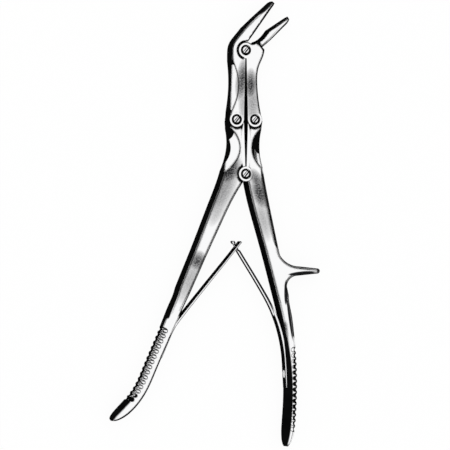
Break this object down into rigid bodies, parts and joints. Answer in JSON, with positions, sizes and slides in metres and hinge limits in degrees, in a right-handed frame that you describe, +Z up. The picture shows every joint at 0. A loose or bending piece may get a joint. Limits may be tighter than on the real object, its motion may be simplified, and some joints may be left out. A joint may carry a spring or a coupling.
{
  "type": "double-action bone rongeur",
  "caption": "Double-action bone rongeur with side-angled cupped jaws, crossed leaf springs, grooved grips and a finger spur.",
  "frame": {"origin": "axis of the main pivot screw on the plane that the instrument lies on, at the screw's flush end", "axes": "+Y towards the jaws, +Z up out of the side it lies on, +X to the side with the finger spur"},
  "size_m": [0.1166, 0.2388, 0.0089],
  "materials": {
    "handle_steel": "polished stainless steel, mirror-like on the flats, with rounded grips",
    "jaw_steel": "polished stainless steel with ground bite faces",
    "screw_steel": "polished stainless steel with slotted heads",
    "spring_steel": "polished spring steel leaves"
  },
  "bodies": {
    "right_handle_body": {"right_handle": "handle_steel", "right_leaf_spring": "spring_steel", "right_spring_screw": "screw_steel"},
    "left_handle_body": {"left_handle": "handle_steel", "left_leaf_spring": "spring_steel", "left_spring_screw": "screw_steel", "main_pivot_screw": "screw_steel"},
    "right_jaw_body": {"right_jaw": "jaw_steel", "right_link_screw": "screw_steel"},
    "left_jaw_body": {"left_jaw": "jaw_steel", "left_link_screw": "screw_steel", "front_pivot_screw": "screw_steel"}
  },
  "joints": [
    {"name": "handle_squeeze", "type": "hinge", "parent": "right_handle_body", "child": "left_handle_body", "pos_m": [0, 0, 0], "axis": [0, 0, 1], "range_deg": [0, 24.9], "stiffness_Nm_per_rad": 1, "springref_deg": -8.59, "deforming": ["left_leaf_spring", "right_leaf_spring"]},
    {"name": "right_jaw_swing", "type": "hinge", "parent": "right_handle_body", "child": "right_jaw_body", "pos_m": [0.00513, 0.0291, 0], "axis": [0, 0, 1], "range_deg": [0, 22.12]},
    {"name": "left_jaw_swing", "type": "hinge", "parent": "left_handle_body", "child": "left_jaw_body", "pos_m": [-0.00513, 0.0291, 0], "axis": [0, 0, 1], "range_deg": [-22.12, 0]}
  ],
  "couplings": [
    {"joint": "right_jaw_swing", "follows": "handle_squeeze", "ratio": 0.888},
    {"joint": "left_jaw_swing", "follows": "handle_squeeze", "ratio": -0.888}
  ]
}
